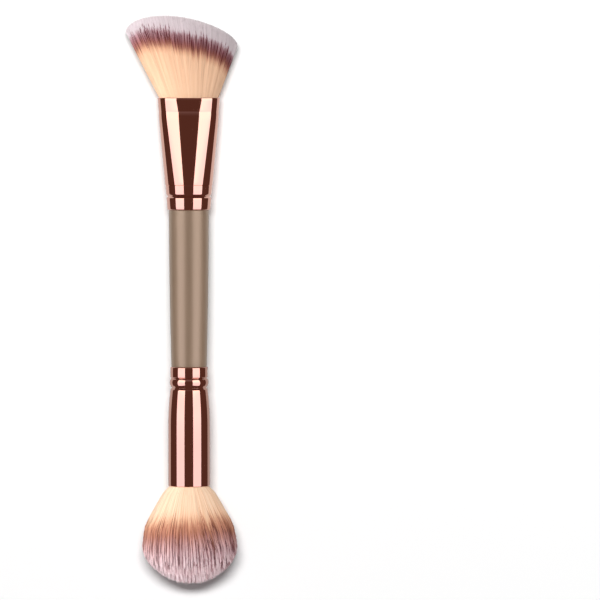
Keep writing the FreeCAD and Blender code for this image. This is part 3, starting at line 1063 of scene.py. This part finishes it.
def grow_fan():
    for number in range(1, FAN_PIECES + 1):
        (u, v), (tip_u, tip_v), _ = choose_tips(FAN_COUNT, FAN_SHELL, fan_centres, FAN_PULL, FAN_SCATTER)
        kind = kinds_at(fan_kinds, tip_u, tip_v)
        trim = -np.abs(rng.normal(0, FAN_UNEVEN, FAN_COUNT))
        outward = away(u / FAN_HALF_WIDTH, v / FAN_HALF_THICKNESS)
        thickness = rng.uniform(*FAN_THICKNESS, FAN_COUNT) * MM
        piece, normals = copy_filaments(
            f"slanted_filaments_{number}", slant_needle, fan_paths(u, v, tip_u, tip_v, trim), outward,
            thickness, column_of(tip_u, kind), fan_sunk(tip_u, tip_v, trim), fan_dyes,
        )
        finish(piece, "angled_bristles", slant_dye)
        set_normals(piece, normals)


grow_fan()

# %% A core under the slanted head's filaments
CORE_CORNERS = 96
CORE_SHARE = 0.94
CORE_KIND = 3
CROWN_RINGS = 10
FAN_CORE_DEPTH = 1.4
FAN_CORE_HEIGHTS = [0, AT_MOUTH, 0.25, 0.4, 0.55, 0.65, 0.72, 0.78, 0.83, 0.88, 0.92, 0.96, 1]


def pack_core(name, paths, sunk, heights, dyes, depth):
    """The body under the filaments: rings along the outer paths and then over the crown to its middle."""
    angles = np.arange(CORE_CORNERS) / CORE_CORNERS * math.tau
    short = np.full(CORE_CORNERS, -depth)

    def around(share):
        return share * np.cos(angles), share * np.sin(angles), short

    outer = paths(*around(CORE_SHARE))
    outer_sunk = sunk(*around(CORE_SHARE))
    side = outer(heights)
    lengths = path_lengths(outer)
    rings = [side[:, index] for index in range(len(heights))]
    tips = [(1 - height) * lengths / MM + outer_sunk for height in heights]
    for share in CORE_SHARE * np.cos(np.linspace(0, math.pi / 2, CROWN_RINGS + 2))[1:-1]:
        rings.append(paths(*around(share))([1.0])[:, 0])
        tips.append(sunk(*around(share)))
    piece = extrude_rings(name, CORE_CORNERS, len(rings))
    with editing("DESELECT"):
        bpy.ops.mesh.select_non_manifold()
        bpy.ops.mesh.edge_face_add()
    ring_of = np.array([round(vertex.co.z) for vertex in piece.data.vertices])
    corner_of = np.array([
        round(math.atan2(vertex.co.y, vertex.co.x) / math.tau * CORE_CORNERS) % CORE_CORNERS
        for vertex in piece.data.vertices
    ])
    places = np.array(rings)[ring_of, corner_of]
    piece.data.vertices.foreach_set("co", places.astype(np.float32).ravel())
    make_consistent(piece)
    from_tip = np.array(tips)[ring_of, corner_of]
    columns = column_of(np.cos(angles) * CORE_SHARE, CORE_KIND)[corner_of]
    store(piece.data, "from_tip", from_tip)
    store_dyes(piece.data, dyes, columns)
    corners = np.array([loop.vertex_index for loop in piece.data.loops])
    lay_out_dye_map(piece.data, columns[corners], from_tip[corners] * MM)
    smooth(piece, degrees=80)
    return piece


def fan_core():
    piece = pack_core(
        "slanted_core", lambda u, v, trim: fan_paths(u, v, u, v, trim), fan_sunk,
        FAN_CORE_HEIGHTS, fan_dyes, FAN_CORE_DEPTH,
    )
    finish(piece, "angled_bristles", slant_dye)


fan_core()

# %% [markdown]
# ## The domed head
#
# These filaments burst out of the round mouth, lean outwards and turn upright at the belly. The ones
# in the middle run straight to the top of the dome, and those on the right start nearer the middle
# and sweep outwards. They are trimmed less evenly than the slanted head, and some end short. They
# gather in small locks, which gives the head its soft, feathery look.

# %% Paths of the domed head
DOME_ROOT = 6.35
DOME_BURST = 3.0
DOME_BELLY = 15.95
BELLY_HEIGHT = 20.3
BELLY_BEND = 20.0
SIDE_LEAN = math.radians(30)
DOME_RISE = 12.9
DOME_SHOULDER = 9.0
DOME_SWAY = 0.25
BURST_CURVE = 1.6
DOME_BAND_SLOPE = ((-1, 0, 1), (1.1, -0.7, -1.1))


def side_radius(height):
    """The radius of the outermost filaments over the mouth: a burst, a straight lean and a round belly."""
    turn = np.arcsin(np.clip((BELLY_HEIGHT - height) / BELLY_BEND, 0, math.sin(SIDE_LEAN)))
    belly = DOME_BELLY - BELLY_BEND * (1 - np.cos(turn))
    lean_end = BELLY_HEIGHT - BELLY_BEND * math.sin(SIDE_LEAN)
    lean = belly - np.clip(lean_end - height, 0, None) * math.tan(SIDE_LEAN)
    burst = np.clip(1 - height / DOME_BURST, 0, 1)
    lean_start = DOME_BELLY - BELLY_BEND * (1 - math.cos(SIDE_LEAN)) - lean_end * math.tan(SIDE_LEAN)
    return lean - (lean_start - DOME_ROOT) * burst ** BURST_CURVE


def dome_height(radius):
    """How high over the mouth the crown is at a radius: a round shoulder and a flatter top."""
    spread = DOME_BELLY - DOME_SHOULDER
    top = (spread ** 2 + DOME_RISE ** 2 - DOME_SHOULDER ** 2) / (2 * (DOME_RISE - DOME_SHOULDER))
    meet = top * spread / math.hypot(spread, top - DOME_RISE)
    shoulder = np.sqrt(np.clip(DOME_SHOULDER ** 2 - (radius - spread) ** 2, 0, None))
    cap = DOME_RISE - top + np.sqrt(top ** 2 - radius ** 2)
    return BELLY_HEIGHT + np.where(radius > meet, shoulder, cap)


def dome_sunk(u, v, trim):
    """How much lower the dye starts on a filament because its tip lies below the top of the dome."""
    below = BELLY_HEIGHT + DOME_RISE - dome_height(np.hypot(u, v) * DOME_BELLY)
    return DIP_SHARE * below - trim + np.interp(u, *DOME_BAND_SLOPE)


def dome_paths(u, v, tip_u, tip_v, trim):
    top = dome_height(np.hypot(tip_u, tip_v) * DOME_BELLY) + trim

    def path(heights):
        heights = np.asarray(heights)[None]
        inside = np.clip(heights / AT_MOUTH, 0, 1)
        outside = np.clip((heights - AT_MOUTH) / (1 - AT_MOUTH), 0, 1)
        climb = top[:, None] * outside
        radius = np.where(heights < AT_MOUTH, DOME_ROOT, side_radius(climb))
        sway = DOME_SWAY * np.clip((climb - DOME_BURST) / BELLY_HEIGHT, 0, None) ** 2
        x = (u[:, None] + (tip_u - u)[:, None] * outside ** 2) * radius + sway
        z = (v[:, None] + (tip_v - v)[:, None] * outside ** 2) * radius
        points = np.stack([x, ROOT_SINK * (1 - inside) - climb, z], axis=-1)
        return points * MM - np.array([0, ROUND_MOUTH, 0])

    return path


# %% The domed head's filaments
DOME_COUNT = 5200
DOME_PIECES = 3
DOME_LOCKS = 900
DOME_SHELL = 0.55
DOME_PULL = 0.35
DOME_SCATTER = (0.012, 0.012)
DOME_UNEVEN = 0.4
LOCK_UNEVEN = 0.5
DYE_UNEVEN = 0.7
DOME_THICKNESS = (0.15, 0.24)
DOME_SWEEP = 0.3
SWEEP_OVERLAP = 0.1
STRAGGLERS = 0.3
STRAGGLER_CUT = (1, 7)

# The third value, from 1.04 on the left to 0.715 on the right, is painted shade that darkens the right
# side.
dome_dyes = spread_dyes(3.2, (-0.36, 0.06), (1.04, 0.715), 0.03)
dome_centres = lock_centres(DOME_LOCKS)
# Here the dark kinds are partly dye and partly painted shade: their short dark streaks stand for the
# shadows between locks.
dome_kinds = streak_kinds(100, 9, (1, 5))
lock_trims = rng.uniform(0, LOCK_UNEVEN, DOME_LOCKS)


def sweep(u, v):
    """Where filaments that end at (u, v) start: those on the right come from nearer the middle."""
    start_u = u - DOME_SWEEP * np.clip(u + SWEEP_OVERLAP, 0, None) * (1 - u ** 2)
    return start_u, np.copysign(np.sqrt(np.clip(u ** 2 + v ** 2 - start_u ** 2, 0, None)), v)


def grow_dome():
    for number in range(1, DOME_PIECES + 1):
        _, (tip_u, tip_v), lock = choose_tips(DOME_COUNT, DOME_SHELL, dome_centres, DOME_PULL, DOME_SCATTER)
        u, v = sweep(tip_u, tip_v)
        kind = kinds_at(dome_kinds, tip_u, tip_v)
        trim = -np.abs(rng.normal(0, DOME_UNEVEN, DOME_COUNT)) - lock_trims[lock]
        short = rng.uniform(0, 1, DOME_COUNT) < STRAGGLERS
        trim[short] -= rng.uniform(*STRAGGLER_CUT, short.sum())
        thickness = rng.uniform(*DOME_THICKNESS, DOME_COUNT) * MM
        sunk = dome_sunk(tip_u, tip_v, trim) + rng.normal(0, DYE_UNEVEN, DOME_COUNT)
        piece, normals = copy_filaments(
            f"domed_filaments_{number}", dome_needle, dome_paths(u, v, tip_u, tip_v, trim), away(u, v),
            thickness, column_of(tip_u, kind), sunk, dome_dyes,
        )
        finish(piece, "round_bristles", dome_dye)
        set_normals(piece, normals)


grow_dome()

# %% A core under the domed head's filaments
DOME_CORE_DEPTH = 2.2
DOME_CORE_HEIGHTS = [0, AT_MOUTH, 0.2, 0.26, 0.34, 0.44, 0.54, 0.63, 0.72, 0.8, 0.88, 0.94, 1]


def dome_core():
    piece = pack_core(
        "domed_core", lambda u, v, trim: dome_paths(u, v, u, v, trim), dome_sunk,
        DOME_CORE_HEIGHTS, dome_dyes, DOME_CORE_DEPTH,
    )
    finish(piece, "round_bristles", dome_dye)


dome_core()

# %% [markdown]
# ## The studio
#
# Polished metal needs something to mirror. Two long soft boxes stand left and right and make the
# light stripes. Dark cards above, beside and at the ends of the brush make the dark ones, and two
# pale cards on the floor under the brush brighten its sides. Those two are painted shade: their grey
# stands in for the shaded floor beside the brush as the sides mirror it, darker on the right. The
# camera sees none of the cards, and they light nothing. A large oval lamp high above, leaning towards
# the slanted head, throws the soft shadow on the white floor. Four low lamps fill in the sides of the
# brush and reach nothing else.
#
# A real floor gets darker away from the lamp. This one has to look white all over, so it glows by
# itself where the lamp falls off, and only for rays that the camera or a mirror sees.

# %% A white floor
FLOOR_SIZE = 8.0
FLOOR_WHITE = (0.98, 0.98, 0.98, 1)
KEY_DISTANCE = 1.5
KEY_LEVEL = 0.94

# Turns a distance from the middle into the light that is missing there.
MISSING_LIGHT = (
    ("DIVIDE", KEY_DISTANCE), ("POWER", 2), ("ADD", 1), ("POWER", -2), ("SUBTRACT", 1),
    ("MULTIPLY", -KEY_LEVEL),
)


def stage_plane(name, size_x, size_y, material, place, facing):
    """A flat card of the studio, turned by the given angles and put at its place."""
    select_only()
    bpy.ops.mesh.primitive_plane_add(size=1, location=place)
    card = bpy.context.object
    card.name = card.data.name = name
    card.scale = (size_x, size_y, 1)
    card.rotation_euler = facing
    apply_place(card)
    card.data.materials.append(material)
    return card


def seen_or_mirrored(nodes, links):
    """1 for rays that show a surface, also in metal or glass, and 0 for light that it would scatter."""
    path = nodes.new("ShaderNodeLightPath")
    seen = path.outputs["Is Camera Ray"]
    for kind in ("Is Glossy Ray", "Is Transmission Ray"):
        seen = work_out(nodes, links, "MAXIMUM", seen, path.outputs[kind])
    return seen


def plain_floor():
    """A white sheet. Where the lamp falls off, it is shown as white as beside the brush."""
    material, nodes, links = new_material("white_floor")
    distance = nodes.new("ShaderNodeVectorMath")
    distance.operation = "LENGTH"
    links.new(object_place(nodes), distance.inputs[0])
    level = distance.outputs["Value"]
    for operation, value in MISSING_LIGHT:
        level = work_out(nodes, links, operation, level, value)
    shown = work_out(nodes, links, "MULTIPLY", level, seen_or_mirrored(nodes, links))
    fill(links, nodes["Principled BSDF"], {
        "Base Color": FLOOR_WHITE, "Roughness": 0.9, "Specular IOR Level": 0,
        "Emission Color": shown, "Emission Strength": 1,
    })
    material.cycles.emission_sampling = "NONE"
    stage_plane("floor", FLOOR_SIZE, FLOOR_SIZE, material, (0, 0, 0), (0, 0, 0))


plain_floor()

# %% Cards that are only mirrored


def fade_along(nodes, links, stops):
    """A ramp of colours along Y. Stops are (place in metres, colour)."""
    low, high = stops[0][0], stops[-1][0]
    parts = nodes.new("ShaderNodeSeparateXYZ")
    links.new(object_place(nodes), parts.inputs["Vector"])
    share = nodes.new("ShaderNodeMapRange")
    fill(links, share, {"Value": parts.outputs["Y"], "From Min": low, "From Max": high})
    shown = [((place - low) / (high - low), colour) for place, colour in stops]
    return colour_ramp(nodes, links, share.outputs["Result"], shown)


def glow(name, stops, strength=1):
    """A card's own light. Stops are (place along Y in metres, colour), and a single one is plain."""
    material, nodes, links = new_material(name)
    nodes.clear()
    light = nodes.new("ShaderNodeEmission")
    colour = fade_along(nodes, links, stops) if len(stops) > 1 else (*stops[0][1], 1)
    fill(links, light, {"Color": colour, "Strength": strength})
    output = nodes.new("ShaderNodeOutputMaterial")
    links.new(light.outputs["Emission"], output.inputs["Surface"])
    return material


def mirrored_card(name, size, material, place, facing):
    """A card that is seen in reflections alone: it lights nothing, shades nothing and hides nothing."""
    card = stage_plane(name, *size, material, place, facing)
    card.visible_camera = False
    card.visible_diffuse = False
    card.visible_shadow = False
    card.visible_transmission = False
    card.visible_volume_scatter = False


# %% Two soft boxes
BOX_DISTANCE = 0.5
BOX_LENGTH = 0.66
BOX_EDGES = (23.5, 69.0)
BOX_LEVEL = 2.4

# Place along the brush, brightness, and how much brighter the blue is.
BOX_STOPS = (
    (-0.33, 0.62, 1.14), (-0.09, 0.63, 1.14), (-0.02, 0.72, 1.1), (0.013, 0.70, 1.1),
    (0.045, 0.72, 1.09), (0.075, 0.85, 1.03), (0.13, 0.91, 1.0), (0.33, 0.93, 1.0),
)


def soft_boxes():
    stops = [(place, (level, level, level * blue)) for place, level, blue in BOX_STOPS]
    cloth = glow("soft_box_cloth", stops, BOX_LEVEL)
    low, high = (math.radians(edge) for edge in BOX_EDGES)
    middle = (low + high) / 2
    width = 2 * BOX_DISTANCE * math.tan((high - low) / 2)
    for side in (-1, 1):
        centre = (side * BOX_DISTANCE * math.sin(middle), 0, BOX_DISTANCE * math.cos(middle))
        mirrored_card("soft_box", (width, BOX_LENGTH), cloth, centre, (0, side * middle + math.pi, 0))


soft_boxes()

# %% Dark and pale cards
SHADOW_BROWN = (0.108, 0.052, 0.040)
SHADOW_GREY = (0.24, 0.19, 0.20)
BROWN_TO_GREY = ((-0.45, SHADOW_BROWN), (0.19, SHADOW_BROWN), (0.33, SHADOW_GREY), (0.45, SHADOW_GREY))
OVERHEAD_HEIGHT = 0.55
OVERHEAD_LENGTH = 0.9
OVERHEAD_OVERLAP = 1.5
NEAR_WIDTH = 0.034
NEAR_LENGTH = 0.6
NEAR_LIFT = 0.0006
# Painted shade: the grey levels, left and right, that stand for the shaded floor beside the brush in the
# metal's sides, and the paler grey towards the slanted head.
NEAR_SHADES = {-1: 0.62, 1: 0.5}
NEAR_PALE = 0.8

# Name, size, place on the right or at the slanted end, and turn. Each has a twin on the other side.
DARK_PAIRS = (
    ("side_card", (0.34, 1.6), (0.62, 0, 0.12), (0, math.pi / 2, 0)),
    ("floor_card", (0.58, 1.6), (NEAR_WIDTH + 0.29, 0, 0.0004), (0, 0, 0)),
    ("end_card", (1.3, 0.8), (0, 0.43, 0.4), (math.pi / 2, 0, 0)),
)


def dark_cards():
    dark = glow("dark_card", [(0, SHADOW_BROWN)])
    faded = glow("faded_card", BROWN_TO_GREY)
    half = OVERHEAD_HEIGHT * math.tan(math.radians(BOX_EDGES[0] + OVERHEAD_OVERLAP))
    mirrored_card("overhead_card", (2 * half, OVERHEAD_LENGTH), faded, (0, 0, OVERHEAD_HEIGHT), (0, 0, 0))
    for side in (-1, 1):
        for name, size, (x, y, z), facing in DARK_PAIRS:
            mirrored_card(name, size, dark, (side * x, side * y, z), facing)


def near_cards():
    """Two pale cards on the floor under the brush, each brighter towards the slanted head. They paint shade
    into the metal's sides: their grey stands for the shaded floor beside the brush.
    """
    for side, shade in NEAR_SHADES.items():
        greys = ((-0.3, shade), (0.0, shade), (0.04, NEAR_PALE), (0.3, NEAR_PALE))
        pale = glow("near_card", [(place, (grey, grey, grey)) for place, grey in greys])
        centre = (side * NEAR_WIDTH / 2, 0, NEAR_LIFT)
        mirrored_card("near_card", (NEAR_WIDTH, NEAR_LENGTH), pale, centre, (0, 0, 0))


dark_cards()
near_cards()

# %% The lamps
KEY_SIZE = (0.5, 0.19)
KEY_LEAN = (-0.008, 0.245)
FILL_DISTANCE = 0.9
FILL_SIZE = (0.5, 0.5)

# Azimuth and elevation in degrees, and level.
FILLS = {"left": (180, 14, 0.56), "right": (0, 14, 0.5), "front": (-90, 10, 0.8), "back": (90, 14, 0.16)}


def add_lamp(name, place, size, level):
    """An oval soft lamp aimed at the brush. A level of 1 makes a white sheet that faces it fully white."""
    lamp = bpy.data.lights.new(name, "AREA")
    lamp.shape = "ELLIPSE"
    lamp.size, lamp.size_y = size
    lamp.energy = level * math.pi ** 2 * place.length ** 2
    holder = bpy.data.objects.new(name, lamp)
    bpy.context.scene.collection.objects.link(holder)
    holder.location = place
    holder.rotation_euler = (-place).to_track_quat("-Z", "Y").to_euler()
    holder.visible_camera = False
    holder.visible_glossy = False
    return holder


def key_lamp():
    add_lamp("key", Vector((*KEY_LEAN, 1)) * KEY_DISTANCE, KEY_SIZE, KEY_LEVEL)


def fill_lamps():
    """Low lamps around the brush that are flagged off the floor, so they reach the brush alone."""
    lit = bpy.data.collections.new("lit_by_fills")
    for piece in bpy.data.objects:
        if piece.type == "MESH" and "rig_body" in piece:
            lit.objects.link(piece)
    for name, (azimuth, elevation, level) in FILLS.items():
        turn_by, climb = math.radians(azimuth), math.radians(elevation)
        flat = math.cos(climb)
        way = Vector((math.cos(turn_by) * flat, math.sin(turn_by) * flat, math.sin(climb)))
        holder = add_lamp(f"fill_{name}", way * FILL_DISTANCE, FILL_SIZE, level)
        holder.light_linking.receiver_collection = lit


key_lamp()
fill_lamps()

# %% The sky
SKY_LEVEL = 0.15


def pale_sky():
    """White where it is seen or mirrored, and dimmer where it only lights the scene."""
    world = bpy.data.worlds.new("pale_sky")
    world.use_nodes = True
    bpy.context.scene.world = world
    nodes, links = world.node_tree.nodes, world.node_tree.links
    level = nodes.new("ShaderNodeMapRange")
    fill(links, level, {"Value": seen_or_mirrored(nodes, links), "To Min": SKY_LEVEL, "To Max": 1})
    fill(links, nodes["Background"], {"Color": (1, 1, 1, 1), "Strength": level.outputs["Result"]})


pale_sky()

# %% The camera
PICTURE_PIXELS = 600
PIXEL = MM / 3
AXIS_PIXEL = 189
CAMERA_HEIGHT = 1.6
CAMERA_AHEAD = 0.142
PICTURE_MIDDLE = -0.0003
SENSOR = 36


def aim_camera():
    """The brush fills the left half of the picture, so the camera looks past its right side."""
    camera = bpy.data.cameras.new("camera")
    camera.sensor_width = SENSOR
    holder = bpy.data.objects.new("camera", camera)
    bpy.context.scene.collection.objects.link(holder)
    bpy.context.scene.camera = holder
    aside = (PICTURE_PIXELS / 2 - AXIS_PIXEL) * PIXEL
    aim = Vector((lay.translation.x + aside, PICTURE_MIDDLE, lay.translation.z))
    holder.location = (aim.x, CAMERA_AHEAD, CAMERA_HEIGHT)
    reach = (holder.location - aim).length
    camera.lens = SENSOR * reach / (PICTURE_PIXELS * PIXEL)
    holder.rotation_euler = (math.atan2(aim.y - holder.location.y, holder.location.z - aim.z), 0, 0)
    camera.clip_end = 100
    print("lens", round(camera.lens), "mm at", round(reach, 3), "m")


aim_camera()

# %% [markdown]
# ## Hidden glue
#
# The glue plugs sit deep inside the ferrules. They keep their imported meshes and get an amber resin.

# %% The resin
AMBER = (0.55, 0.32, 0.10, 1)


def resin():
    material, nodes, links = new_material("amber_resin")
    fill(links, nodes["Principled BSDF"], {"Base Color": AMBER})
    add_streaks(nodes, links, {"Scale": 300, "Stretch": 1, "Low": 0.2, "High": 0.4}, bump=0.2)
    return material


amber = resin()
for plug in ("angled_glue_plug", "round_glue_plug"):
    frame["nodes"][plug].data.materials.clear()
    frame["nodes"][plug].data.materials.append(amber)
